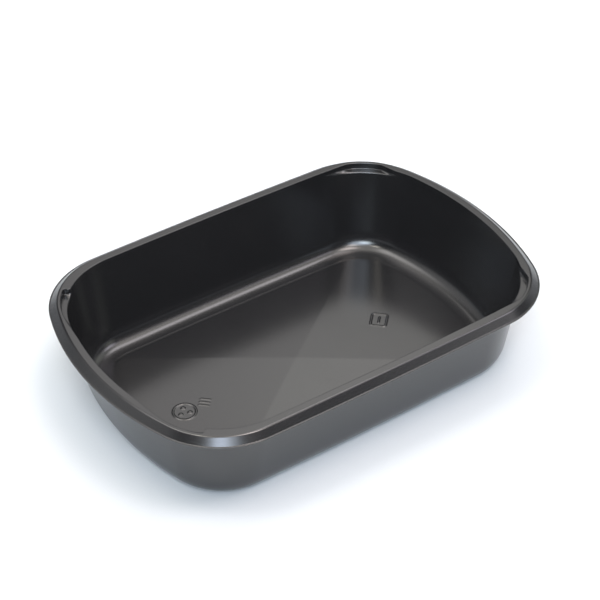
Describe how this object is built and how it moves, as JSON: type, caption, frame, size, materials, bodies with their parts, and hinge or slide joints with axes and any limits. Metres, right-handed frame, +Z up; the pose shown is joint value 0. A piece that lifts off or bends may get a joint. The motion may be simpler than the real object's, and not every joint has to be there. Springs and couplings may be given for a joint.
{
  "type": "plastic food tray",
  "caption": "Open black plastic food tray with drafted walls, a flat sealing rim with a sloping skirt, bowed short ends and small denesting pockets in its corners.",
  "frame": {"origin": "middle of the footprint, on the surface that the tray stands on", "axes": "+Z up out of the open mouth, X along the tray, Y across it; the denesting pockets nearer the end faces are at the -X end"},
  "size_m": [0.265, 0.18, 0.055],
  "materials": {
    "tray_plastic": "near-black satin-gloss formed plastic sheet with a fine pulled grain and light handling scuffs"
  },
  "bodies": {
    "root": {"tray": "tray_plastic"}
  },
  "joints": []
}
